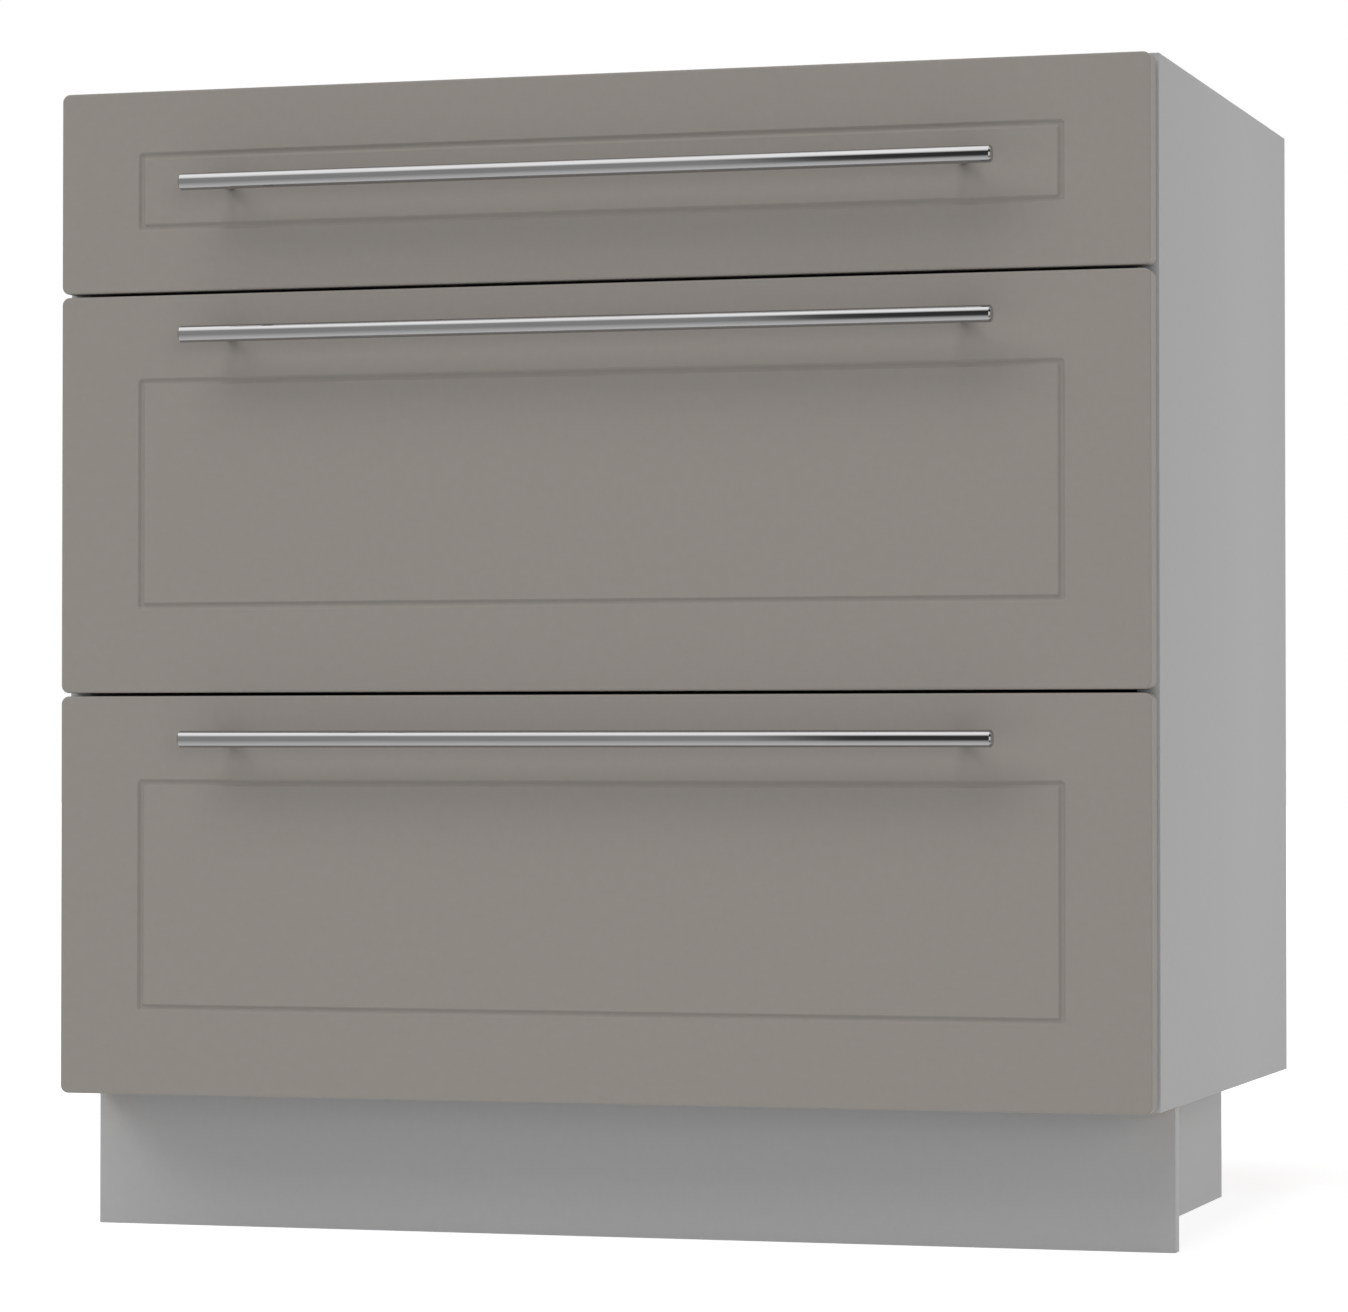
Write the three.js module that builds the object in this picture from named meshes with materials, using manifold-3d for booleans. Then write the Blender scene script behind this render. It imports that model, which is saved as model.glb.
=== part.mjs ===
// Base cabinet with one shallow and two deep drawers, in millimetres.
// +X is to the right, +Y to the back and +Z up. The floor is at Z = 0.
import * as THREE from 'three';
import { mergeVertices } from 'three/addons/utils/BufferGeometryUtils.js';
import Module from 'manifold-3d';

const wasm = await Module();
wasm.setup();

// Carcass. It is as deep as its runners and the space that they and the back panel need behind them.
const carcassWidth = 800;
const carcassHeight = 720;
const runnerLength = 450;
const runnerRearSpace = 50;
const carcassDepth = runnerLength + runnerRearSpace;
const carcassBoard = 16;
const railDepth = 96;

// Thin back panel, held in grooves
const backThickness = 3;
const backGrooveDepth = 8;
const backGrooveInset = 16;
const backTopInset = 1;

// Plinth boards
const plinthHeight = 100;
const plinthBoard = 13;
const plinthSetback = 54;
const plinthEndGap = 0.5;
const returnInset = 51;

// Drawer fronts
const frontThickness = 19;
const frontAirGap = 2;
const frontSideReveal = 1.5;
const frontTopReveal = 1.5;
const frontBottomDrop = 0.4;
const frontJointGap = 2.35;
const shallowFrontHeight = 144.4;
const frontCornerRadius = 5.5;
const frontEdgeRadius = 1.5;

// Routed groove in the fronts: inset of its centre line, its section and its corners
const grooveInset = 62;
const shallowGrooveInset = 46.5;
const grooveWidth = 5.3;
const grooveFloor = 1.8;
const grooveDepth = 1.7;
const grooveOuterCorner = 3.5;
const grooveInnerCorner = 0.5;

// Bar handles
const barDiameter = 12;
const barLength = 590;
const barStandOff = 29;
const barEndChamfer = 1;
const postDiameter = 8;
const postSpacing = 536;
const handleDrop = 31;
const shallowHandleDrop = 69.5;

// Runners: three nested steel sections a side
const runnerHeight = 34;
const runnerDepth = 12.4;
const runnerSteel = 1.5;
const runnerPlay = 0.8;
const runnerLip = 4;
const runnerSetback = 2;
const runnerLift = 4;
const movingMemberShortfall = 6;

// Drawer boxes: double-wall steel sides, board bottoms and backs
const drawerRise = 30;
const drawerSideThickness = 13;
const drawerSteel = 1.2;
const drawerLedge = 12;
const drawerBoard = 16;
const shallowSideHeight = 84;
const deepSideHeight = 199;

// Legs and levelling feet
const padDiameter = 50;
const padHeight = 7;
const padNeckHeight = 8;
const flangeDiameter = 48;
const flangeHeight = 5;
const barrelDiameter = 32;
const barrelClearance = 18.7;
const boreDiameter = 22;
const boreRoof = 6;
const spindleHeadroom = 13.7;
const rearLegInset = 60;

// Clearances, and how far a cutter runs past the face that it opens
const seat = 0.3;
const spindlePlay = 0.4;
const overcut = 1;

// Roundness of the curved faces
const cornerSegments = 4;
const edgeSegments = 3;
const roundSegments = 24;

// Places that follow from the sizes. Here Y = 0 is the outer face of the fronts. The group that holds
// the pieces is shifted, so that the finished cabinet has Y = 0 in the middle of its depth.
const halfWidth = carcassWidth / 2;
const innerHalf = halfWidth - carcassBoard;
const carcassFront = frontThickness + frontAirGap;
const carcassRear = carcassFront + carcassDepth;
const carcassTop = plinthHeight + carcassHeight;
const bottomTop = plinthHeight + carcassBoard;
const backRear = carcassRear - backGrooveInset - seat;
const backFront = backRear - backThickness;
const barFront = -barStandOff - barDiameter / 2;
const depthMiddle = (barFront + carcassRear) / 2;

const plinthFront = carcassFront + plinthSetback;
const plinthRear = plinthFront + plinthBoard;
const returnOuter = halfWidth - returnInset;
const returnInner = returnOuter - plinthBoard;
const legX = returnInner - seat - padDiameter / 2;
const frontLegY = plinthRear + seat + padDiameter / 2;
const rearLegY = carcassRear - rearLegInset;

const frontsTop = carcassTop - frontTopReveal;
const frontsBottom = plinthHeight - frontBottomDrop;
const deepFrontHeight = (frontsTop - frontsBottom - shallowFrontHeight - 2 * frontJointGap) / 2;
const frontWidth = carcassWidth - 2 * frontSideReveal;

const runnerFront = carcassFront + runnerSetback;
const drawerFront = frontThickness + seat;
const drawerRear = carcassFront + runnerLength;
const drawerSideOuter = seat + runnerDepth + 2 * seat;
const drawerSideInner = drawerSideOuter + drawerSideThickness;
const boardHalf = innerHalf - drawerSideInner - seat;

const drawers = [
  {
    number: 1, height: shallowFrontHeight, top: frontsTop,
    drop: shallowHandleDrop, inset: shallowGrooveInset, side: shallowSideHeight,
  },
  {
    number: 2, height: deepFrontHeight, top: frontsTop - shallowFrontHeight - frontJointGap,
    drop: handleDrop, inset: grooveInset, side: deepSideHeight,
  },
  {
    number: 3, height: deepFrontHeight, top: frontsBottom + deepFrontHeight,
    drop: handleDrop, inset: grooveInset, side: deepSideHeight,
  },
];
const hands = [{ name: 'left', sign: -1 }, { name: 'right', sign: 1 }];

// Finishes
const frontFoil = { color: 0x908a82, roughness: 0.55, metalness: 0 };
const carcassMelamine = { color: 0xa6a6a6, roughness: 0.6, metalness: 0 };
const plinthMelamine = { color: 0x999999, roughness: 0.6, metalness: 0 };
const hardboard = { color: 0xb4b4b2, roughness: 0.7, metalness: 0 };
const drawerPaint = { color: 0x8d9093, roughness: 0.45, metalness: 0.3 };
const zincSteel = { color: 0xb9bcbe, roughness: 0.35, metalness: 1 };
const brushedSteel = { color: 0xc9cacb, roughness: 0.28, metalness: 1 };
const legPlastic = { color: 0x222324, roughness: 0.55, metalness: 0 };

const cabinet = new THREE.Group();
cabinet.position.y = -depthMiddle;

function add(name, geometry, finish) {
  const mesh = new THREE.Mesh(geometry, new THREE.MeshStandardMaterial(finish));
  mesh.name = name;
  cabinet.add(mesh);
  return mesh;
}

function block(x0, x1, y0, y1, z0, z1) {
  const geometry = new THREE.BoxGeometry(x1 - x0, y1 - y0, z1 - z0);
  return geometry.translate((x0 + x1) / 2, (y0 + y1) / 2, (z0 + z1) / 2);
}

function solid(geometry) {
  const bare = geometry.clone();
  bare.deleteAttribute('normal');
  bare.deleteAttribute('uv');
  const merged = mergeVertices(bare);
  return new wasm.Manifold(new wasm.Mesh({
    numProp: 3,
    vertProperties: new Float32Array(merged.attributes.position.array),
    triVerts: new Uint32Array(merged.index.array),
  }));
}

function cut(geometry, ...tools) {
  const body = tools.reduce((rest, tool) => rest.subtract(solid(tool)), solid(geometry));
  const mesh = body.getMesh();
  const result = new THREE.BufferGeometry();
  result.setAttribute('position', new THREE.BufferAttribute(mesh.vertProperties, mesh.numProp));
  result.setIndex(new THREE.BufferAttribute(mesh.triVerts, 1));
  result.computeVertexNormals();
  return result;
}

// A section drawn in X and Z, run along Y from y0 to y1
function run(points, y0, y1) {
  const shape = new THREE.Shape(points.map(([x, z]) => new THREE.Vector2(x, z)));
  const geometry = new THREE.ExtrudeGeometry(shape, { depth: y1 - y0, bevelEnabled: false });
  return geometry.rotateX(Math.PI / 2).translate(0, y1, 0);
}

// A turned shape: its profile is given as radius and height, from axis to axis
function turned(profile) {
  const points = profile.map(([radius, height]) => new THREE.Vector2(radius, height));
  return new THREE.LatheGeometry(points, roundSegments).rotateX(Math.PI / 2);
}

function roundedRectangle(Kind, width, height, radius) {
  const x = width / 2;
  const z = height / 2;
  const path = new Kind();
  path.moveTo(-x + radius, -z);
  path.lineTo(x - radius, -z);
  path.absarc(x - radius, -z + radius, radius, -Math.PI / 2, 0);
  path.lineTo(x, z - radius);
  path.absarc(x - radius, z - radius, radius, 0, Math.PI / 2);
  path.lineTo(-x + radius, z);
  path.absarc(-x + radius, z - radius, radius, Math.PI / 2, Math.PI);
  path.lineTo(-x, -z + radius);
  path.absarc(-x + radius, -z + radius, radius, Math.PI, Math.PI * 1.5);
  return path;
}

// Side panels, each with the groove that holds the back panel
for (const { name, sign } of hands) {
  const faces = [sign * halfWidth, sign * innerHalf];
  const groovePlaces = [sign * (innerHalf + backGrooveDepth), sign * (innerHalf - overcut)];
  const panel = block(
    Math.min(...faces), Math.max(...faces), carcassFront, carcassRear, plinthHeight, carcassTop,
  );
  const groove = block(
    Math.min(...groovePlaces), Math.max(...groovePlaces),
    backFront - seat, backRear + seat, bottomTop - backGrooveDepth, carcassTop + overcut,
  );
  add(`side_panel_${name}`, cut(panel, groove), carcassMelamine);
}

// Bottom panel, top rails and back panel
const railHalf = innerHalf - seat;
add('bottom_panel', cut(
  block(-railHalf, railHalf, carcassFront, carcassRear, plinthHeight, bottomTop),
  block(
    -halfWidth, halfWidth, backFront - seat, backRear + seat,
    bottomTop - backGrooveDepth, bottomTop + overcut,
  ),
), carcassMelamine);
add('top_rail_front', block(
  -railHalf, railHalf, carcassFront, carcassFront + railDepth, carcassTop - carcassBoard, carcassTop,
), carcassMelamine);
add('top_rail_rear', block(
  -railHalf, railHalf, backFront - seat - railDepth, backFront - seat, carcassTop - carcassBoard, carcassTop,
), carcassMelamine);
const backHalf = innerHalf + backGrooveDepth - seat;
add('back_panel', block(
  -backHalf, backHalf, backFront, backRear, bottomTop - backGrooveDepth + seat, carcassTop - backTopInset,
), hardboard);

// Plinth: a front board and a return board on each side
const plinthTop = plinthHeight - seat;
const plinthHalf = halfWidth - plinthEndGap;
add('plinth_front', block(-plinthHalf, plinthHalf, plinthFront, plinthRear, 0, plinthTop), plinthMelamine);
for (const { name, sign } of hands) {
  const faces = [sign * returnInner, sign * returnOuter];
  add(`plinth_return_${name}`, block(
    Math.min(...faces), Math.max(...faces), plinthRear + seat, carcassRear, 0, plinthTop,
  ), plinthMelamine);
}

// Legs under the bottom panel. The spindle of each foot screws into the bore of its leg.
const barrelBottom = padHeight + padNeckHeight + barrelClearance;
const boreTop = plinthTop - boreRoof;
const spindleTop = boreTop - spindleHeadroom;
const legProfile = [
  [0, boreTop],
  [boreDiameter / 2, boreTop],
  [boreDiameter / 2, barrelBottom],
  [barrelDiameter / 2, barrelBottom],
  [barrelDiameter / 2, plinthTop - flangeHeight],
  [flangeDiameter / 2, plinthTop - flangeHeight],
  [flangeDiameter / 2, plinthTop],
  [0, plinthTop],
];
const spindleRadius = boreDiameter / 2 - spindlePlay;
const footProfile = [
  [0, 0],
  [padDiameter / 2, 0],
  [padDiameter / 2, padHeight],
  [spindleRadius, padHeight + padNeckHeight],
  [spindleRadius, spindleTop],
  [0, spindleTop],
];
for (const { name, sign } of hands) {
  for (const [end, y] of [['front', frontLegY], ['rear', rearLegY]]) {
    for (const [piece, profile] of [['leg', legProfile], ['foot', footProfile]]) {
      const mesh = add(`${piece}_${end}_${name}`, turned(profile), legPlastic);
      mesh.position.set(sign * legX, y, 0);
    }
  }
}

// Drawer front with a rounded outer edge and the routed rectangle
function frontPanel(height, inset) {
  const outline = roundedRectangle(THREE.Shape, frontWidth, height, frontCornerRadius);
  const panel = new THREE.ExtrudeGeometry(outline, {
    depth: frontThickness - frontEdgeRadius,
    bevelThickness: frontEdgeRadius,
    bevelSize: frontEdgeRadius,
    bevelOffset: -frontEdgeRadius,
    bevelSegments: edgeSegments,
    curveSegments: cornerSegments,
  });
  const spare = frontEdgeRadius + overcut;
  const behind = new THREE.BoxGeometry(frontWidth + 2 * overcut, height + 2 * overcut, spare);
  behind.translate(0, 0, -spare / 2);

  const outerWidth = frontWidth - 2 * grooveInset + grooveWidth;
  const outerHeight = height - 2 * inset + grooveWidth;
  const ring = roundedRectangle(THREE.Shape, outerWidth, outerHeight, grooveOuterCorner);
  ring.holes.push(roundedRectangle(
    THREE.Path, outerWidth - 2 * grooveWidth, outerHeight - 2 * grooveWidth, grooveInnerCorner,
  ));
  const flank = (grooveWidth - grooveFloor) / 2;
  const cutter = new THREE.ExtrudeGeometry(ring, {
    depth: grooveDepth,
    bevelThickness: grooveDepth,
    bevelSize: flank,
    bevelOffset: -flank,
    bevelSegments: edgeSegments,
    curveSegments: cornerSegments,
  });
  cutter.translate(0, 0, frontThickness);
  return cut(panel, behind, cutter).rotateX(Math.PI / 2).translate(0, frontThickness, 0);
}

// Handle post: a round bar from the face to the handle, hollowed to fit round it
function handlePost() {
  const length = barStandOff - seat;
  const post = new THREE.CylinderGeometry(postDiameter / 2, postDiameter / 2, length, roundSegments);
  post.translate(0, -length / 2 - seat, 0);
  const hollow = new THREE.CylinderGeometry(
    barDiameter / 2 + seat, barDiameter / 2 + seat, postDiameter + 2 * overcut, roundSegments,
  );
  hollow.rotateZ(Math.PI / 2).translate(0, -barStandOff, 0);
  return cut(post, hollow);
}

function handleBar() {
  const radius = barDiameter / 2;
  const end = barLength / 2;
  const points = [
    [0, -end], [radius - barEndChamfer, -end], [radius, -end + barEndChamfer],
    [radius, end - barEndChamfer], [radius - barEndChamfer, end], [0, end],
  ];
  const profile = points.map(([x, y]) => new THREE.Vector2(x, y));
  return new THREE.LatheGeometry(profile, roundSegments).rotateZ(Math.PI / 2);
}

// Runner sections. u runs from the side panel towards the drawer, v up from the runner's underside.
const cabinetBack = seat;
const cabinetOpen = seat + runnerDepth;
const step = runnerSteel + runnerPlay;

function channel(back, open, low, high) {
  const s = runnerSteel;
  return [
    [back, low], [open, low], [open, low + runnerLip], [open - s, low + runnerLip], [open - s, low + s],
    [back + s, low + s], [back + s, high - s], [open - s, high - s], [open - s, high - runnerLip],
    [open, high - runnerLip], [open, high], [back, high],
  ];
}

function hat(back, open, low, high, neckLow, neckHigh) {
  const s = runnerSteel;
  return [
    [open, neckLow], [open, neckHigh], [back + s, neckHigh], [back + s, high], [back, high],
    [back, neckHigh - s], [open - s, neckHigh - s], [open - s, neckLow + s], [back, neckLow + s],
    [back, low], [back + s, low], [back + s, neckLow],
  ];
}

const neckLow = step + runnerLip + runnerPlay;
const members = [
  { name: 'cabinet', section: channel(cabinetBack, cabinetOpen, 0, runnerHeight), length: runnerLength },
  {
    name: 'middle',
    section: channel(cabinetBack + step, cabinetOpen - step, step, runnerHeight - step),
    length: runnerLength - movingMemberShortfall,
  },
  {
    name: 'drawer',
    section: hat(
      cabinetBack + 2 * step, drawerSideOuter - seat, 2 * step, runnerHeight - 2 * step,
      neckLow, runnerHeight - neckLow,
    ),
    length: runnerLength - movingMemberShortfall,
  },
];

// Double-wall steel side, open below, with the ledge that carries the bottom board
function drawerSide(height) {
  const s = drawerSteel;
  const outer = drawerSideOuter;
  const inner = drawerSideInner;
  return [
    [outer, 0], [outer, height], [inner, height], [inner, s],
    [inner + drawerLedge, s], [inner + drawerLedge, 0], [inner - s, 0],
    [inner - s, height - s], [outer + s, height - s], [outer + s, 0],
  ];
}

// Turns a section from u and v into X and Z on one side of the cabinet
function place(section, sign, base) {
  return section.map(([u, v]) => [sign * (innerHalf - u), base + v]);
}

for (const { number, height, top, drop, inset, side } of drawers) {
  const base = top - height + drawerRise;

  add(`drawer_${number}_front`, frontPanel(height, inset), frontFoil).position.z = top - height / 2;
  add(`handle_${number}_bar`, handleBar(), brushedSteel).position.set(0, -barStandOff, top - drop);

  for (const { name, sign } of hands) {
    add(`handle_${number}_post_${name}`, handlePost(), brushedSteel)
      .position.set(sign * postSpacing / 2, 0, top - drop);
    add(`drawer_${number}_side_${name}`,
      run(place(drawerSide(side), sign, base), drawerFront, drawerRear), drawerPaint);
    for (const member of members) {
      const section = place(member.section, sign, base + runnerLift);
      add(`runner_${number}_${member.name}_${name}`,
        run(section, runnerFront, runnerFront + member.length), zincSteel);
    }
  }

  const boardBottom = base + drawerSteel + seat;
  const boardTop = boardBottom + drawerBoard;
  add(`drawer_${number}_bottom`,
    block(-boardHalf, boardHalf, drawerFront, drawerRear, boardBottom, boardTop), carcassMelamine);
  add(`drawer_${number}_back`,
    block(-boardHalf, boardHalf, drawerRear - drawerBoard, drawerRear, boardTop + seat, base + side),
    carcassMelamine);
}

export default cabinet;
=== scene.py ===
from math import cos, pi, radians, sin, tan

import bmesh
import bpy
from mathutils import Euler, Matrix, Vector


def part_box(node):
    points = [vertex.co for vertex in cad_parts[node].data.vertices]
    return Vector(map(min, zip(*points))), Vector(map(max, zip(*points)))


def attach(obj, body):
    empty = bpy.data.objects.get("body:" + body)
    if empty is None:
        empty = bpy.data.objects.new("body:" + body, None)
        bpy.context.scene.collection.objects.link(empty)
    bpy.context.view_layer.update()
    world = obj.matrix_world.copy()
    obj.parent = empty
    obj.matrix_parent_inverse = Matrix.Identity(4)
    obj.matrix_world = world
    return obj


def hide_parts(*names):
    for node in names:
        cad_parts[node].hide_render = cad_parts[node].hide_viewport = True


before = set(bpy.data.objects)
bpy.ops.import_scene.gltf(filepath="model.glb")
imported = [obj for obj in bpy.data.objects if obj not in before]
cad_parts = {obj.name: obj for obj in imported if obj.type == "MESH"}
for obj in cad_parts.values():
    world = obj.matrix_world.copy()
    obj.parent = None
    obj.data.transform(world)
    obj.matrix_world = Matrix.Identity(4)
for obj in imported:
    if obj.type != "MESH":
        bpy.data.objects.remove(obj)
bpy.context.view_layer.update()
scene = bpy.context.scene


# The photographer's eye. It stands low, to the right of the cabinet, and looks a little up and to the left
# through a long lens, as the edges of the cabinet in the photograph say.
PHOTO_WIDTH = 1348
FOCAL_LENGTH_IN_PIXELS = 5027.6
EYE = (1.0638, -3.583, 0.3426)
EYE_TURN = 16.694
EYE_TILT = 1.124
SIGHT_LIMIT = 200

lens = bpy.data.cameras.new("eye")
lens.sensor_fit = "HORIZONTAL"
lens.lens = lens.sensor_width * FOCAL_LENGTH_IN_PIXELS / PHOTO_WIDTH
lens.clip_end = SIGHT_LIMIT
eye = bpy.data.objects.new("eye", lens)
eye.location = EYE
eye.rotation_euler = (radians(90 + EYE_TILT), 0, radians(EYE_TURN))
scene.collection.objects.link(eye)
scene.camera = eye
scene.view_settings.view_transform = "Standard"


# The studio. A white room lights the cabinet from all round. Three soft lamps above the front make one long
# lamp, which throws the wide faint shadows below the bars. Another lifts the right side, and a low one
# reaches the plinth. Each has the place that it shines from, its brightness and its width in degrees.
ROOM_LEVEL = 0.27
LAMPS = {
    "left_end": ((-1.6, -0.8, 1.2), 0.10, 26),
    "long_middle": ((-0.9, -1.0, 1.25), 0.24, 26),
    "right_end": ((-0.1, -1.0, 1.7), 0.20, 26),
    "side": ((1.0, -0.2, 0.40), 0.135, 40),
    "low_front": ((0.6, -1.0, 0.09), 0.20, 30),
}


def node(tree, kind, settings=None, **inputs):
    """A node with its settings and inputs. An input is named as in Blender, or in0, in1 by its place."""
    made = tree.nodes.new(kind)
    for key, value in (settings or {}).items():
        setattr(made, key, value)
    for key, value in inputs.items():
        place = int(key[2:]) if key[:2] == "in" and key[2:].isdigit() else key.replace("_", " ")
        socket = made.inputs[place]
        if isinstance(value, bpy.types.NodeSocket):
            tree.links.new(value, socket)
        else:
            socket.default_value = value
    return made


def paint(red, green, blue):
    """A colour of a paint card, 0 to 255, as Blender counts light."""
    shares = [value / 255 for value in (red, green, blue)]
    return *[s / 12.92 if s <= 0.04045 else ((s + 0.055) / 1.055) ** 2.4 for s in shares], 1.0


studio = bpy.data.worlds.new("studio")
studio.use_nodes = True
scene.world = studio
tree = studio.node_tree
tree.nodes.clear()
rays = node(tree, "ShaderNodeLightPath").outputs
larger = {"operation": "MAXIMUM"}
seen = node(tree, "ShaderNodeMath", larger, in0=rays["Is Camera Ray"], in1=rays["Is Glossy Ray"])
seen = node(tree, "ShaderNodeMath", larger, in0=seen.outputs[0], in1=rays["Is Transmission Ray"])
level = node(tree, "ShaderNodeMapRange", Value=seen.outputs[0], To_Min=ROOM_LEVEL, To_Max=1.0)
air = node(tree, "ShaderNodeBackground", Color=paint(255, 255, 255), Strength=level.outputs[0])
node(tree, "ShaderNodeOutputWorld", Surface=air.outputs[0])

for name, (source, brightness, width) in LAMPS.items():
    light = bpy.data.lights.new(name, "SUN")
    light.energy = brightness * pi
    light.angle = radians(width)
    lamp = bpy.data.objects.new(name, light)
    lamp.rotation_euler = (-Vector(source)).to_track_quat("-Z", "Y").to_euler()
    lamp.visible_glossy = False
    scene.collection.objects.link(lamp)


# The floor is matt white. It throws an even light back up, keeps the cabinet's soft shadow and is white where
# nothing shades it.
FLOOR_REACH = 30
FLOOR_DROP = 0.0002
FLOOR_LIFT = 0.7
FLOOR_BOUNCE = 0.39


def bare_material(name):
    """A material with an empty node tree."""
    made = bpy.data.materials.new(name)
    made.use_nodes = True
    made.node_tree.nodes.clear()
    return made, made.node_tree


def sheet(name, corners, faces, material):
    """A sheet of the studio, which is no part of the cabinet. Polished surfaces don't mirror it."""
    mesh = bpy.data.meshes.new(name)
    mesh.from_pydata(corners, [], faces)
    mesh.materials.append(material)
    made = bpy.data.objects.new(name, mesh)
    made.visible_glossy = False
    scene.collection.objects.link(made)
    return made


pale, tree = bare_material("pale_floor")
rays = node(tree, "ShaderNodeLightPath").outputs
lift = node(tree, "ShaderNodeMapRange", Value=rays["Is Camera Ray"], To_Min=FLOOR_BOUNCE, To_Max=FLOOR_LIFT)
matt = node(tree, "ShaderNodeBsdfDiffuse", Color=paint(225, 225, 225))
glow = node(tree, "ShaderNodeEmission", Strength=lift.outputs[0])
both = node(tree, "ShaderNodeAddShader", in0=matt.outputs[0], in1=glow.outputs[0])
node(tree, "ShaderNodeOutputMaterial", Surface=both.outputs[0])
pale.cycles.emission_sampling = "NONE"
square = [(x * FLOOR_REACH, y * FLOOR_REACH, -FLOOR_DROP) for x, y in ((-1, -1), (1, -1), (1, 1), (-1, 1))]
sheet("floor", square, [range(4)], pale)


# What stands before the cabinet, for polished surfaces to mirror: a bright soft box overhead, a pale floor,
# and walls that are grey at the left and dark from just left of the middle on. It is a half tube round the
# front, lit by itself.
TUBE_RADIUS = 20
TUBE_HALF = 60
TUBE_TURN = 100
TUBE_STEPS = 20
BOX_LEVEL = 1.56
BOX_FROM, BOX_FULL = 0.48, 0.88
WALL_LEVEL = 0.415
GROUND_LEVEL = 0.845
GROUND_FROM, GROUND_FULL = -0.26, -0.95
DARK_LEVEL = 0.05
DARK_FROM, DARK_FULL = -0.268, -0.240
DARK_BOTTOM, DARK_RISE = -0.75, -0.15

mirrored, tree = bare_material("mirrored_room")
place = node(tree, "ShaderNodeTexCoord").outputs["Object"]
way = node(tree, "ShaderNodeVectorMath", {"operation": "NORMALIZE"}, Vector=place)
way = node(tree, "ShaderNodeSeparateXYZ", Vector=way.outputs[0]).outputs
soft = {"interpolation_type": "SMOOTHSTEP"}
box = node(tree, "ShaderNodeMapRange", soft, Value=way["Z"],
           From_Min=BOX_FROM, From_Max=BOX_FULL).outputs[0]
walls = node(tree, "ShaderNodeMapRange", Value=way["Z"], From_Min=GROUND_FULL, From_Max=GROUND_FROM,
             To_Min=GROUND_LEVEL, To_Max=WALL_LEVEL).outputs[0]
right = node(tree, "ShaderNodeMapRange", soft, Value=way["X"],
             From_Min=DARK_FROM, From_Max=DARK_FULL).outputs[0]
above = node(tree, "ShaderNodeMapRange", soft, Value=way["Z"],
             From_Min=DARK_BOTTOM, From_Max=DARK_RISE).outputs[0]
dark = node(tree, "ShaderNodeMath", {"operation": "MULTIPLY"}, in0=right, in1=above).outputs[0]
room = node(tree, "ShaderNodeMix", {"data_type": "FLOAT"}, in0=dark, in2=walls, in3=DARK_LEVEL).outputs[0]
room = node(tree, "ShaderNodeMix", {"data_type": "FLOAT"}, in0=box, in2=room, in3=BOX_LEVEL).outputs[0]
glow = node(tree, "ShaderNodeEmission", Strength=room)
node(tree, "ShaderNodeOutputMaterial", Surface=glow.outputs[0])
mirrored.cycles.emission_sampling = "NONE"
turns = [radians(2 * TUBE_TURN * k / TUBE_STEPS - TUBE_TURN) for k in range(TUBE_STEPS + 1)]
rims = [(x, -TUBE_RADIUS * cos(a), TUBE_RADIUS * sin(a)) for a in turns for x in (-TUBE_HALF, TUBE_HALF)]
strips = [(2 * k, 2 * k + 1, 2 * k + 3, 2 * k + 2) for k in range(TUBE_STEPS)]
tube = sheet("half_tube", rims, strips, mirrored)
tube.visible_glossy = True
tube.visible_camera = tube.visible_diffuse = tube.visible_transmission = tube.visible_shadow = False


# Legs: a black moulded sleeve with ribs under a screwed flange. The foot's spindle screws into the sleeve.
# Pad, collar and trapezoidal thread of the foot are one moulding.
HANDS = {"left": -1, "right": 1}
ENDS = ("front", "rear")
BORE_RADIUS = 0.011
BARREL_RADIUS = 0.016
HEADROOM = 0.0137
SLEEVE_RADIUS = 0.0138
SLEEVE_RIM = 0.001
RIB_COUNT = 12
RIB_WIDTH = 0.002
RIB_ROOT = 0.001
RIB_EDGE = 0.0004
FLANGE_HEIGHT = 0.005
FLANGE_ROUND = 0.0012
PAD_HEIGHT = 0.007
PAD_ROUND = 0.0016
COLLAR_FLARE = 0.003
COLLAR_HEIGHT = 0.008
TIP_CHAMFER = 0.0015
GRIP_COUNT = 16
GRIP_DEPTH = 0.0009
THREAD_START = 0.0165
THREAD_PITCH = 0.004
THREAD_DEPTH = 0.0011
THREAD_ROWS = 8
BORE_PLAY = 0.0004
ROUND_SIDES = 64
SHARP_ANGLE = 32
FACING = 0.9


def material(name, roughness, metal=0.0, gloss=0.5):
    """A surface with the given smoothness. It returns the material, its tree and its surface node."""
    made, tree = bare_material(name)
    surface = node(tree, "ShaderNodeBsdfPrincipled", Roughness=roughness, Metallic=metal,
                   Specular_IOR_Level=gloss)
    node(tree, "ShaderNodeOutputMaterial", Surface=surface.outputs[0])
    return made, tree, surface


def spread(tree, stretch):
    """Where a point lies on the piece, for a pattern that is finer or coarser along each axis."""
    own = node(tree, "ShaderNodeTexCoord").outputs["Object"]
    return node(tree, "ShaderNodeMapping", Scale=stretch, Vector=own).outputs[0]


def grain(tree, scale, detail=2.0, stretch=(1, 1, 1)):
    """Fine noise over the piece."""
    place = spread(tree, stretch)
    return node(tree, "ShaderNodeTexNoise", Scale=scale, Detail=detail, Vector=place).outputs[0]


def tint(tree, surface, value, darker, lighter, low=0.3, high=0.7):
    """Colours the surface between two shades, led by a value."""
    mix = node(tree, "ShaderNodeValToRGB", Fac=value)
    ends = mix.color_ramp.elements
    ends[0].position, ends[0].color = low, darker
    ends[1].position, ends[1].color = high, lighter
    tree.links.new(mix.outputs[0], surface.inputs["Base Color"])


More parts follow.
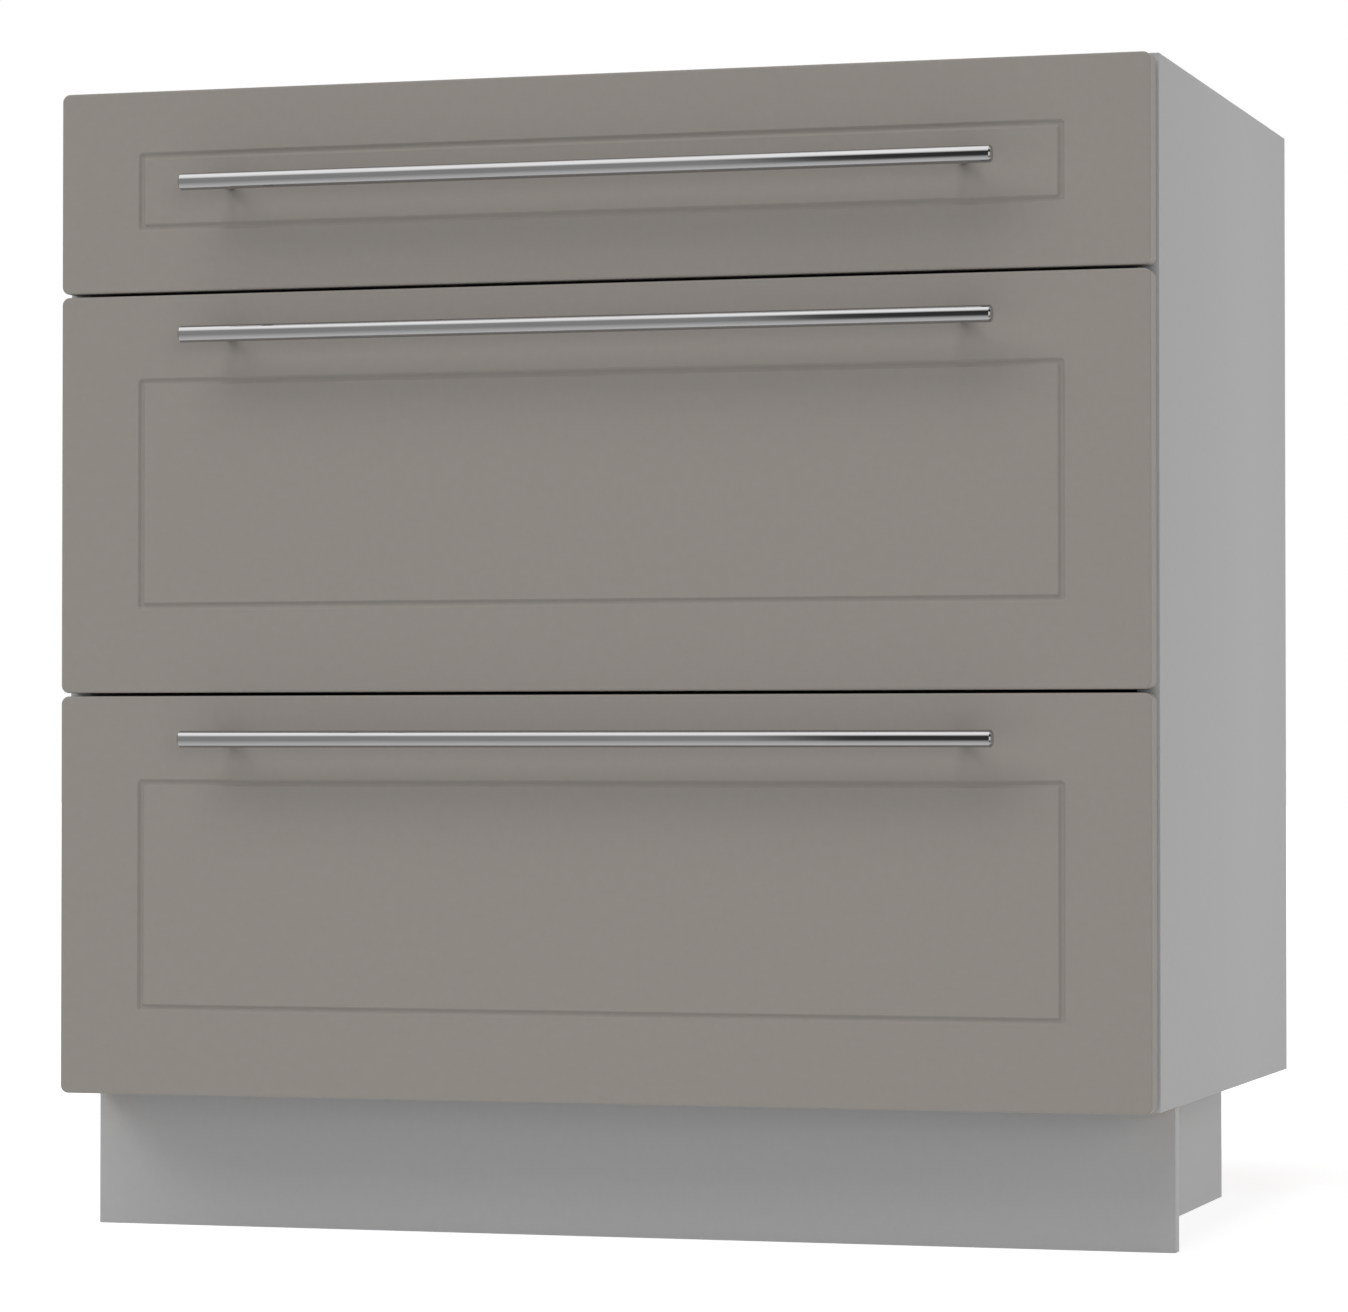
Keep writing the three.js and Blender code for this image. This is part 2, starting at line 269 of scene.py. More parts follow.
def relief(tree, surface, height, depth, strength):
    """Raises the surface by a height pattern, whose full depth is in metres."""
    bump = node(tree, "ShaderNodeBump", Height=height, Distance=depth, Strength=strength)
    tree.links.new(bump.outputs[0], surface.inputs["Normal"])


def polish(tree, surface, value, smooth, rough):
    """Lets the surface vary between a smoother and a rougher finish."""
    span = node(tree, "ShaderNodeMapRange", Value=value, To_Min=smooth, To_Max=rough)
    tree.links.new(span.outputs[0], surface.inputs["Roughness"])


def revolve(bm, profile, sides=ROUND_SIDES, centre=(0, 0, 0), shape=None):
    """Turns points of radius and height round the upright through centre. Radius 0 closes the form."""
    rings = []
    for radius, height in profile:
        count = 1 if radius == 0 else sides
        ring = []
        for k in range(count):
            angle = 2 * pi * k / sides
            r = radius if shape is None or radius == 0 else shape(angle, radius, height)
            spot = (centre[0] + r * cos(angle), centre[1] + r * sin(angle), centre[2] + height)
            ring.append(bm.verts.new(spot))
        rings.append(ring)
    for lower, upper in zip(rings, rings[1:]):
        for k in range(sides):
            corners = [lower[k % len(lower)], lower[(k + 1) % len(lower)],
                       upper[(k + 1) % len(upper)], upper[k % len(upper)]]
            bm.faces.new(list(dict.fromkeys(corners)))


def add_block(bm, one, other, edge=0.0, raw=()):
    """A block between two far corners, with softened edges. Faces that look a raw way get material 1."""
    low, high = (Vector([pick(pair) for pair in zip(one, other)]) for pick in (min, max))
    place = Matrix.Translation((low + high) / 2) @ Matrix.Diagonal((*(high - low), 1))
    corners = bmesh.ops.create_cube(bm, size=1, matrix=place)["verts"]
    faces = {face for corner in corners for face in corner.link_faces}
    bmesh.ops.recalc_face_normals(bm, faces=list(faces))
    for face in faces:
        face.material_index = 1 if any(face.normal.dot(Vector(way)) > FACING for way in raw) else 0
    if edge:
        sides = {side for corner in corners for side in corner.link_edges}
        bmesh.ops.bevel(bm, geom=list(sides), offset=edge, segments=2, profile=0.5, affect="EDGES")


def finished(bm, name, angle=SHARP_ANGLE):
    """The mesh of a bmesh, with its faces turned out and only its true edges sharp."""
    bmesh.ops.recalc_face_normals(bm, faces=bm.faces)
    mesh = bpy.data.meshes.new(name)
    bm.to_mesh(mesh)
    bm.free()
    mesh.shade_smooth()
    mesh.set_sharp_from_angle(angle=radians(angle))
    return mesh


def piece(name, mesh, materials, body, nodes=()):
    """Puts a finished mesh on the cabinet: the body it rides on, its finish and the solids it stands for."""
    for one in materials:
        mesh.materials.append(one)
    made = bpy.data.objects.new(name, mesh)
    scene.collection.objects.link(made)
    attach(made, body)
    if nodes:
        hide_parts(*nodes)


def settled(thing):
    """The mesh that an object's modifiers make of it. The object itself is taken away."""
    bpy.context.view_layer.update()
    mesh = bpy.data.meshes.new_from_object(thing.evaluated_get(bpy.context.evaluated_depsgraph_get()))
    bpy.data.objects.remove(thing)
    return mesh


def hidden_object(name, mesh):
    """A helper object that is taken away again before the end."""
    made = bpy.data.objects.new(name, mesh)
    scene.collection.objects.link(made)
    return made


def pattern(name, sockets):
    """An empty geometry tree with named inputs. It returns the tree and its group input's outputs."""
    tree = bpy.data.node_groups.new(name, "GeometryNodeTree")
    tree.interface.new_socket("Geometry", in_out="OUTPUT", socket_type="NodeSocketGeometry")
    tree.interface.new_socket("Geometry", in_out="INPUT", socket_type="NodeSocketGeometry")
    for label, kind in sockets.items():
        tree.interface.new_socket(label, in_out="INPUT", socket_type="NodeSocket" + kind)
    return tree, tree.nodes.new("NodeGroupInput").outputs


def end_pattern(tree, instances, stuff):
    """Makes the instances real, gives them their material and hands them out of the tree."""
    real = node(tree, "GeometryNodeRealizeInstances", Geometry=instances)
    dressed = node(tree, "GeometryNodeSetMaterial", Geometry=real.outputs[0], Material=stuff)
    node(tree, "NodeGroupOutput", Geometry=dressed.outputs[0])


def grown(tree, start=None, **values):
    """The plain mesh that a geometry tree makes from its named inputs and, where it takes one, a mesh."""
    host = hidden_object("host", start or bpy.data.meshes.new("start"))
    step = host.modifiers.new("pattern", "NODES")
    step.node_group = tree
    names = {item.name: item.identifier for item in tree.interface.items_tree if item.in_out == "INPUT"}
    for label, value in values.items():
        step[names[label.replace("_", " ")]] = value
    return settled(host)


def joined(*meshes):
    """Several meshes as one."""
    bm = bmesh.new()
    for mesh in meshes:
        bm.from_mesh(mesh)
    return bm


# A ring of ribs: copies of one rib at the middle of the leg, each turned further round it.
ring_pattern, given = pattern("ring_of_ribs", {"Shape": "Object", "Count": "Int", "Stuff": "Material"})
middles = node(ring_pattern, "GeometryNodePoints", Count=given["Count"])
shape = node(ring_pattern, "GeometryNodeObjectInfo", Object=given["Shape"])
number = node(ring_pattern, "GeometryNodeInputIndex")
part = node(ring_pattern, "ShaderNodeMath", {"operation": "DIVIDE"}, in0=2 * pi, in1=given["Count"])
turn = node(ring_pattern, "ShaderNodeMath", {"operation": "MULTIPLY"},
            in0=number.outputs[0], in1=part.outputs[0])
around = node(ring_pattern, "ShaderNodeCombineXYZ", Z=turn.outputs[0])
spin = node(ring_pattern, "FunctionNodeEulerToRotation", Euler=around.outputs[0])
ribs = node(ring_pattern, "GeometryNodeInstanceOnPoints", Points=middles.outputs[0],
            Instance=shape.outputs["Geometry"], Rotation=spin.outputs[0])
end_pattern(ring_pattern, ribs.outputs[0], given["Stuff"])

leg_plastic, tree, surface = material("black_leg_plastic", 0.5, gloss=0.35)
tint(tree, surface, grain(tree, 90), paint(30, 31, 32), paint(40, 41, 42))
relief(tree, surface, grain(tree, 900), 0.00006, 0.5)


def axis_of(source):
    """Where the upright axis of a round solid stands."""
    low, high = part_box(source)
    return (low.x + high.x) / 2, (low.y + high.y) / 2


def foot_radius(angle, radius, height):
    """Finger grips round the rim of the pad. Up the spindle a thread, whose crest, root and two flanks each
    take a quarter of the pitch."""
    if height < THREAD_START:
        return radius - GRIP_DEPTH * max(0.0, cos(GRIP_COUNT * angle)) if radius > 2 * BORE_RADIUS else radius
    phase = (height / THREAD_PITCH - angle / (2 * pi)) % 1
    return radius - THREAD_DEPTH * min(1.0, max(0.0, 4 * abs(phase - 0.5) - 0.5))


for end in ENDS:
    for hand in HANDS:
        corner = f"{end}_{hand}"
        low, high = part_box(f"leg_{corner}")
        foot_low, foot_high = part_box(f"foot_{corner}")
        centre = (*axis_of(f"leg_{corner}"), 0)
        bore, barrel, flange = BORE_RADIUS, BARREL_RADIUS, (high.x - low.x) / 2
        spindle_top = foot_high.z
        bore_top = spindle_top + HEADROOM
        flange_low = high.z - FLANGE_HEIGHT

        bm = bmesh.new()
        revolve(bm, [
            (0, bore_top), (bore, bore_top), (bore, low.z + SLEEVE_RIM), (bore + SLEEVE_RIM / 2, low.z),
            (barrel - SLEEVE_RIM, low.z), (barrel, low.z + SLEEVE_RIM), (barrel, low.z + 3 * SLEEVE_RIM),
            (SLEEVE_RADIUS, low.z + 4 * SLEEVE_RIM), (SLEEVE_RADIUS, flange_low - 3 * FLANGE_ROUND),
            (barrel, flange_low), (flange - FLANGE_ROUND, flange_low), (flange, flange_low + FLANGE_ROUND),
            (flange, high.z), (0, high.z),
        ], centre=centre)
        sleeve = finished(bm, "sleeve")
        bm = bmesh.new()
        add_block(bm, (SLEEVE_RADIUS - RIB_ROOT, -RIB_WIDTH / 2, low.z + 2 * SLEEVE_RIM),
                  (barrel, RIB_WIDTH / 2, flange_low + RIB_ROOT), RIB_EDGE)
        rib = hidden_object("rib", finished(bm, "rib"))
        ribs = grown(ring_pattern, Shape=rib, Count=RIB_COUNT, Stuff=leg_plastic)
        bpy.data.objects.remove(rib)
        ribs.transform(Matrix.Translation(centre))
        piece(f"leg_sleeve_{corner}", finished(joined(sleeve, ribs), "leg"), [leg_plastic], "cabinet",
              [f"leg_{corner}"])

        pad = (foot_high.x - foot_low.x) / 2
        spindle = bore - BORE_PLAY
        rows = int((spindle_top - TIP_CHAMFER - THREAD_START) / THREAD_PITCH * THREAD_ROWS)
        thread = [(spindle, THREAD_START + k * THREAD_PITCH / THREAD_ROWS) for k in range(rows)]
        bm = bmesh.new()
        revolve(bm, [
            (0, 0), (pad - PAD_ROUND, 0), (pad, PAD_ROUND), (pad, PAD_HEIGHT - PAD_ROUND),
            (pad - PAD_ROUND, PAD_HEIGHT), (spindle + COLLAR_FLARE, PAD_HEIGHT + COLLAR_HEIGHT / 2),
            (spindle, PAD_HEIGHT + COLLAR_HEIGHT), *thread,
            (spindle - TIP_CHAMFER, spindle_top), (0, spindle_top),
        ], centre=centre, shape=foot_radius)
        piece(f"foot_screw_{corner}", finished(bm, "foot"), [leg_plastic], f"foot_{corner}",
              [f"foot_{corner}"])


# Carcass boards: 16 mm chipboard between sheets of grey melamine. The front edges carry a thin glued band and
# the others are raw. Two rows of system holes run up each side, and a groove takes the back panel.
BOARD_EDGE = 0.00015
BAND = 0.0008
BAND_ROUND = 0.0004
SYSTEM_PITCH = 0.032
SYSTEM_COUNT = 20
FIRST_HOLE = 0.050
ROW_INSET = 0.037
HOLE_RADIUS = 0.0025
HOLE_DEPTH = 0.012
GROOVE_DEPTH = 0.008
GROOVE_PLAY = 0.0003
OVERCUT = 0.001
WORKTOP_HOLES = 3
WORKTOP_PITCH = 0.3
RAIL_DRILL = 0.05

melamine, tree, surface = material("grey_melamine", 0.5, gloss=0.4)
tint(tree, surface, grain(tree, 160), paint(164, 164, 164), paint(166, 166, 166))
relief(tree, surface, grain(tree, 1400, 3), 0.00004, 0.35)

chipboard, tree, surface = material("raw_chipboard", 0.85, gloss=0.2)
chips = node(tree, "ShaderNodeTexVoronoi", Scale=520, Vector=spread(tree, (1, 1, 1.6)))
shades = node(tree, "ShaderNodeSeparateColor", Color=chips.outputs["Color"]).outputs[0]
tint(tree, surface, shades, paint(128, 98, 66), paint(196, 168, 128), 0.0, 1.0)
relief(tree, surface, chips.outputs["Distance"], 0.0004, 0.6)


def cut(mesh, cutter):
    """The mesh with the cutter's form taken out of it."""
    body = hidden_object("body", mesh)
    tool = hidden_object("tool", cutter)
    step = body.modifiers.new("cut", "BOOLEAN")
    step.operation = "DIFFERENCE"
    step.solver = "EXACT"
    step.material_mode = "INDEX"
    step.object = tool
    made = settled(body)
    bpy.data.objects.remove(tool)
    made.shade_smooth()
    made.set_sharp_from_angle(angle=radians(SHARP_ANGLE))
    return made


# A straight row of one shape, such as drilled holes or balls.
row_pattern, given = pattern("row", {"Shape": "Object", "Count": "Int", "Start": "Vector", "Step": "Vector",
                                     "Stuff": "Material"})
line = node(row_pattern, "GeometryNodeMeshLine", Count=given["Count"], Start_Location=given["Start"],
            Offset=given["Step"])
shape = node(row_pattern, "GeometryNodeObjectInfo", Object=given["Shape"])
copies = node(row_pattern, "GeometryNodeInstanceOnPoints", Points=line.outputs[0],
              Instance=shape.outputs["Geometry"])
end_pattern(row_pattern, copies.outputs[0], given["Stuff"])


def row(shape, count, start, step, stuff):
    """A row of one shape as a plain mesh."""
    return grown(row_pattern, Shape=shape, Count=count, Start=start, Step=step, Stuff=stuff)


def peg(radius, length, upright=False, sides=20):
    """A round peg to drill with, centred on the origin. It lies across the cabinet unless it is upright."""
    bm = bmesh.new()
    revolve(bm, [(0, -length / 2), (radius, -length / 2), (radius, length / 2), (0, length / 2)], sides)
    if not upright:
        bmesh.ops.transform(bm, matrix=Euler((0, pi / 2, 0)).to_matrix().to_4x4(), verts=bm.verts)
    return hidden_object("peg", finished(bm, "peg"))


def chipboard_cutter(bm):
    """A cutter that leaves raw chipboard wherever it cuts."""
    for face in bm.faces:
        face.material_index = 1
    return finished(bm, "cutter")


def board(name, source, raw, cutter):
    """A board in the place of a solid, with its raw edges, its glued front band and its cuts."""
    low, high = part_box(source)
    band_rear = low.y + BAND
    bm = bmesh.new()
    add_block(bm, (low.x, band_rear, low.z), high, BOARD_EDGE, raw)
    add_block(bm, low, (high.x, band_rear, high.z), BAND_ROUND)
    mesh = finished(bm, name)
    for one in (melamine, chipboard):
        mesh.materials.append(one)
    piece(name, cut(mesh, cutter), [], "cabinet", [source])


UP, DOWN, BACK, LEFT, RIGHT = (0, 0, 1), (0, 0, -1), (0, 1, 0), (-1, 0, 0), (1, 0, 0)
back_low, back_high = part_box("back_panel")
bottom_low, bottom_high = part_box("bottom_panel")
carcass_low, carcass_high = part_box("side_panel_left")
inner_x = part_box("side_panel_right")[0].x
hole_front = carcass_low.y + ROW_INSET
hole_rear = back_low.y - ROW_INSET
drill = peg(HOLE_RADIUS, 2 * HOLE_DEPTH)
for hand, sign in HANDS.items():
    starts = [(sign * inner_x, y, carcass_low.z + FIRST_HOLE) for y in (hole_front, hole_rear)]
    bm = joined(*[row(drill, SYSTEM_COUNT, start, (0, 0, SYSTEM_PITCH), chipboard) for start in starts])
    add_block(bm, (sign * (inner_x - OVERCUT), back_low.y - GROOVE_PLAY, back_low.z - GROOVE_PLAY),
              (sign * (inner_x + GROOVE_DEPTH), back_high.y + GROOVE_PLAY, carcass_high.z + OVERCUT))
    board(f"side_board_{hand}", f"side_panel_{hand}", (BACK, UP, DOWN), chipboard_cutter(bm))
bpy.data.objects.remove(drill)

bm = bmesh.new()
add_block(bm, (bottom_low.x - OVERCUT, back_low.y - GROOVE_PLAY, bottom_high.z - GROOVE_DEPTH),
          (bottom_high.x + OVERCUT, back_high.y + GROOVE_PLAY, bottom_high.z + OVERCUT))
board("bottom_board", "bottom_panel", (BACK,), chipboard_cutter(bm))

drill = peg(HOLE_RADIUS, RAIL_DRILL, upright=True)
for end in ENDS:
    low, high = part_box(f"top_rail_{end}")
    start = (-WORKTOP_PITCH * (WORKTOP_HOLES - 1) / 2, (low.y + high.y) / 2, high.z)
    bm = joined(row(drill, WORKTOP_HOLES, start, (WORKTOP_PITCH, 0, 0), chipboard))
    board(f"rail_board_{end}", f"top_rail_{end}", (BACK,), chipboard_cutter(bm))
bpy.data.objects.remove(drill)


# Back panel: a thin hardboard, lacquered grey inside and left raw and brown outside. It is let into the
# grooves of the sides and the bottom.
lacquer, tree, surface = material("lacquered_hardboard", 0.4, gloss=0.45)
tint(tree, surface, grain(tree, 60, 3), paint(168, 168, 166), paint(173, 173, 171))
relief(tree, surface, grain(tree, 500, 4), 0.00005, 0.4)

hardboard, tree, surface = material("raw_hardboard", 0.75, gloss=0.25)
fibre = grain(tree, 260, 6, (1, 1, 0.5))
tint(tree, surface, fibre, paint(108, 82, 58), paint(140, 110, 80), 0.25, 0.75)
relief(tree, surface, grain(tree, 900, 5), 0.00012, 0.5)

bm = bmesh.new()
add_block(bm, back_low, back_high, BOARD_EDGE, (BACK,))
piece("back_board", finished(bm, "back"), [lacquer, hardboard], "cabinet", ["back_panel"])


# Fixings: zinc-plated pan-head screws and flat cam discs, all with a cross recess. The cams pull the carcass
# joints together, and the first screws hold the flanges of the legs under the bottom board.
SCREW_RADIUS = 0.0038
SCREW_HEIGHT = 0.0021
FLAT_SCREW_RADIUS = 0.0031
FLAT_SCREW_HEIGHT = 0.0003
HEAD_CURVE = ((1, 0), (1, 0.35), (0.86, 0.75), (0.55, 0.95))
HEAD_SIDES = 24
RECESS_WIDTH = 0.0009
RECESS_DEPTH = 0.0012
RECESS_REACH = 0.55
RECESS_SHARE = 0.7
HAIR = 0.00001
TURN_STEP = 2.4
CAM_RADIUS = 0.0074
CAM_HEIGHT = 0.0004
CAM_INSET = 0.034
CAM_REACH = 0.06
FLANGE_SCREW_REACH = 0.8
FLANGE_SCREW_SIZE = 0.9

zinc, tree, surface = material("zinc_plate", 0.34, metal=1.0)
tint(tree, surface, grain(tree, 160, 3), paint(196, 199, 201), paint(214, 216, 217))
polish(tree, surface, grain(tree, 420, 3), 0.28, 0.42)
relief(tree, surface, grain(tree, 1500), 0.00001, 0.3)

# One shape at each point of a mesh, turned as the point says.
fixing_pattern, given = pattern("fixings", {"Shape": "Object", "Size": "Float", "Stuff": "Material"})
shape = node(fixing_pattern, "GeometryNodeObjectInfo", Object=given["Shape"])
turn = node(fixing_pattern, "GeometryNodeInputNamedAttribute", {"data_type": "FLOAT_VECTOR"}, Name="turn")
spin = node(fixing_pattern, "FunctionNodeEulerToRotation", Euler=turn.outputs["Attribute"])
heads = node(fixing_pattern, "GeometryNodeInstanceOnPoints", Points=given["Geometry"],
             Instance=shape.outputs["Geometry"], Rotation=spin.outputs[0], Scale=given["Size"])
end_pattern(fixing_pattern, heads.outputs[0], given["Stuff"])


def fixings(places, shape, stuff, size=1.0):
    """One shape at each place, its head looking the way that is given with the place."""
    start = bpy.data.meshes.new("places")
    start.from_pydata([point for point, _ in places], [], [])
    turns = start.attributes.new("turn", "FLOAT_VECTOR", "POINT")
    for k, (_, way) in enumerate(places):
        own = Euler((0, 0, TURN_STEP * k)).to_quaternion()
        turns.data[k].vector = (Vector(way).to_track_quat("Z", "Y") @ own).to_euler()
    return grown(fixing_pattern, start, Shape=shape, Size=size, Stuff=stuff)


def cross(bm, width, reach, low, high):
    """A cross-shaped cutter between two heights."""
    add_block(bm, (-reach, -width / 2, low), (reach, width / 2, high))
    add_block(bm, (-width / 2, -reach, low - HAIR), (width / 2, reach, high + HAIR))


def head(radius, height):
    """A screw or cam head with a cross recess, its seat at height 0. Its curve is in shares of its size."""
    bm = bmesh.new()
    curve = [(across * radius, up * height) for across, up in HEAD_CURVE]
    revolve(bm, [(0, 0), *curve, (0, height)], HEAD_SIDES)
    cutter = bmesh.new()
    recess_low = height - min(RECESS_DEPTH, RECESS_SHARE * height)
    cross(cutter, RECESS_WIDTH, RECESS_REACH * radius, recess_low, 2 * height)
    return hidden_object("head", cut(finished(bm, "head"), finished(cutter, "cross")))


screw = head(SCREW_RADIUS, SCREW_HEIGHT)
cam = head(CAM_RADIUS, CAM_HEIGHT)
flat_screw = head(FLAT_SCREW_RADIUS, FLAT_SCREW_HEIGHT)

cam_places = []
for sign in HANDS.values():
    x = sign * (inner_x - CAM_INSET)
    for y in (bottom_low.y + CAM_REACH, back_low.y - CAM_REACH):
        cam_places.append(((x, y, bottom_low.z), DOWN))
    for end in ENDS:
        low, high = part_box(f"top_rail_{end}")
        cam_places.append(((x, (low.y + high.y) / 2, low.z), DOWN))
piece("cam_discs", fixings(cam_places, cam, zinc), [], "cabinet")

flange_places = []
for end in ENDS:
    for hand in HANDS:
        low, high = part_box(f"leg_{end}_{hand}")
        x, y = axis_of(f"leg_{end}_{hand}")
        reach = FLANGE_SCREW_REACH * (high.x - low.x) / 2
        for k in range(4):
            angle = pi / 4 + k * pi / 2
            spot = (x + reach * cos(angle), y + reach * sin(angle), high.z - FLANGE_HEIGHT)
            flange_places.append((spot, DOWN))
flange_screws = fixings(flange_places, screw, zinc, FLANGE_SCREW_SIZE)
piece("flange_screws", flange_screws, [], "cabinet")


# Plinth: a front board and two returns of the same grey board. The front one hangs on two moulded clips that
# grip the front legs, so it can be pulled off.
PLINTH_BOARDS = {"front": "plinth_front", "left": "plinth_return_left", "right": "plinth_return_right"}
PLINTH_EDGE = 0.0003
CLIP_PLATE = 0.003
CLIP_HALF = 0.018
CLIP_LOW, CLIP_HIGH = 0.044, 0.076
CLIP_EDGE = 0.0008
CLASP_INSET = 0.006
CLASP_WALL = 0.0022
CLASP_PLAY = 0.0002
CLASP_OPEN = 55
CLASP_STEPS = 40
ARM_OFFSET = 0.006
ARM_HALF = 0.0012
ARM_ROOT = 0.0005
ARM_CLEAR = 0.0003
ARM_EDGE = 0.0003

for name, source in PLINTH_BOARDS.items():
    bm = bmesh.new()
    add_block(bm, *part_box(source), PLINTH_EDGE, (UP,))
    piece(f"plinth_board_{name}", finished(bm, "plinth"), [melamine, chipboard], "cabinet",
          [source])


def add_prism(bm, outline, low, high, upright=False):
    """An outline swept straight. An upright one is drawn in X and Y, and any other in X and Z."""
    ends = [[bm.verts.new((u, v, w) if upright else (u, w, v)) for u, v in outline] for w in (low, high)]
    for ring in ends:
        bm.faces.new(ring)
    count = len(outline)
    for k in range(count):
        bm.faces.new([ends[0][k], ends[0][(k + 1) % count], ends[1][(k + 1) % count], ends[1][k]])


plate_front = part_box("plinth_front")[1].y
plate_rear = plate_front + CLIP_PLATE
clasp_low, clasp_high = CLIP_LOW + CLASP_INSET, CLIP_HIGH - CLASP_INSET
inside = BARREL_RADIUS + CLASP_PLAY
outside = inside + CLASP_WALL
step = (360 - 2 * CLASP_OPEN) / CLASP_STEPS
angles = [radians(90 + CLASP_OPEN + k * step) for k in range(CLASP_STEPS + 1)]
leg_axes = [axis_of(f"leg_front_{hand}") for hand in HANDS]
bm = bmesh.new()
for x, y in leg_axes:
    outline = [(x + outside * cos(a), y + outside * sin(a)) for a in angles]
    outline += [(x + inside * cos(a), y + inside * sin(a)) for a in reversed(angles)]
    add_prism(bm, outline, clasp_low, clasp_high, upright=True)
# The blocks come last, because a prism that is made after a softened edge gets its faces in no fixed order.
for x, y in leg_axes:
    add_block(bm, (x - CLIP_HALF, plate_front, CLIP_LOW), (x + CLIP_HALF, plate_rear, CLIP_HIGH), CLIP_EDGE)
    for arm_x in (x - ARM_OFFSET, x + ARM_OFFSET):
        add_block(bm, (arm_x - ARM_HALF, plate_rear - ARM_ROOT, clasp_low),
                  (arm_x + ARM_HALF, y - inside - ARM_CLEAR, clasp_high), ARM_EDGE)
piece("plinth_clips", finished(bm, "clips"), [leg_plastic], "cabinet")


# Runners: on each side an outer, a middle and an inner rail, roll-formed from zinc-plated strip. The middle
# rail carries the drawer's inner one on two rows of caged balls. Flat-headed screws hold the outer rail to
# the cabinet, and a rubber buffer stops the others at its rear end.
DRAWERS = (1, 2, 3)
STRIP = 0.0015
LIP = 0.004
BEND = 0.0006
BEND_STEPS = 4
NECK = 0.0025
DRILL_LENGTH = 0.008
SCREW_HOLE_RADIUS = 0.0032
SCREW_HOLES = 13
SCREWED_HOLES = (0, 7, 12)
WINDOW_RADIUS = 0.005
WINDOW_SIDES = 24
WINDOW_PITCH = 0.096
WINDOWS = 4
BALL_RADIUS = 0.0012
BALL_ANGLE = 60
BALL_COUNT = 16
BALL_PITCH = 0.012
CAGE_START = 0.008
CAGE_THICKNESS = 0.0004
CAGE_PLAY = 0.0001
BUFFER_LENGTH = 0.0052
BUFFER_PLAY = 0.0003
BUFFER_SETBACK = 0.0002
BUFFER_EDGE = 0.0008

rubber, tree, surface = material("black_rubber", 0.7, gloss=0.25)
tint(tree, surface, grain(tree, 200), paint(26, 26, 27), paint(36, 36, 37))
relief(tree, surface, grain(tree, 900), 0.00005, 0.4)


def far_and_near(low, high, sign):
    """The X of a piece's side that is far from the middle of the cabinet, and of the side that is near it."""
    return (high.x, low.x) if sign > 0 else (low.x, high.x)


def fold_way(before, after):
    """1 where a path folds to its left, and -1 where it folds to its right."""
    return 1 if before.x * after.y - before.y * after.x > 0 else -1


def arc(corner, before, after, radius, steps):
    """The points of a rounded corner, between the way that leads to it and the way that goes on."""
    fold = fold_way(before, after)
    angle = before.angle(after)
    start = corner - before * radius * tan(angle / 2)
    centre = start + fold * radius * Vector((-before.y, before.x))
    turns = [Matrix.Rotation(fold * angle * j / steps, 2) for j in range(steps + 1)]
    return [centre + turn @ (start - centre) for turn in turns]


def bent(path, thickness, bends):
    """The outline of a strip folded along a path, with the inner radius of each bend."""
    points = [Vector(point) for point in path]
    ways = [(b - a).normalized() for a, b in zip(points, points[1:])]
    outline = []
    for side in (1, -1):
        line = []
        for k, point in enumerate(points):
            before, after = ways[max(k - 1, 0)], ways[min(k, len(ways) - 1)]
            out = Vector((-before.y, before.x)), Vector((-after.y, after.x))
            corner = point + side * thickness / 2 * (out[0] + out[1]) / (1 + out[0].dot(out[1]))
            if before == after:
                line.append(corner)
            else:
                radius = bends[k - 1] + (0 if side == fold_way(before, after) else thickness)
                line += arc(corner, before, after, radius, BEND_STEPS)
        outline += line if side == 1 else line[::-1]
    return [tuple(point) for point in outline]


def channel(low, high, sign):
    """A lipped channel, open towards the drawer."""
    half = STRIP / 2
    far, near = far_and_near(low, high, sign)
    back, lip = far - sign * half, near + sign * half
    return [(lip, low.z + LIP), (lip, low.z + half), (back, low.z + half),
            (back, high.z - half), (lip, high.z - half), (lip, high.z - LIP)]


def hat(low, high, sign):
    """A brimmed hat, whose crown looks to the drawer."""
    half = STRIP / 2
    far, near = far_and_near(low, high, sign)
    brim, crown = far - sign * half, near + sign * half
    return [(brim, high.z), (brim, high.z - NECK - half), (crown, high.z - NECK - half),
            (crown, low.z + NECK + half), (brim, low.z + NECK + half), (brim, low.z)]


def folded(path, bends, low, high, thickness=STRIP):
    """A folded strip that runs along the drawer's travel."""
    bm = bmesh.new()
    add_prism(bm, bent(path, thickness, bends), low.y, high.y)
    return finished(bm, "folded")


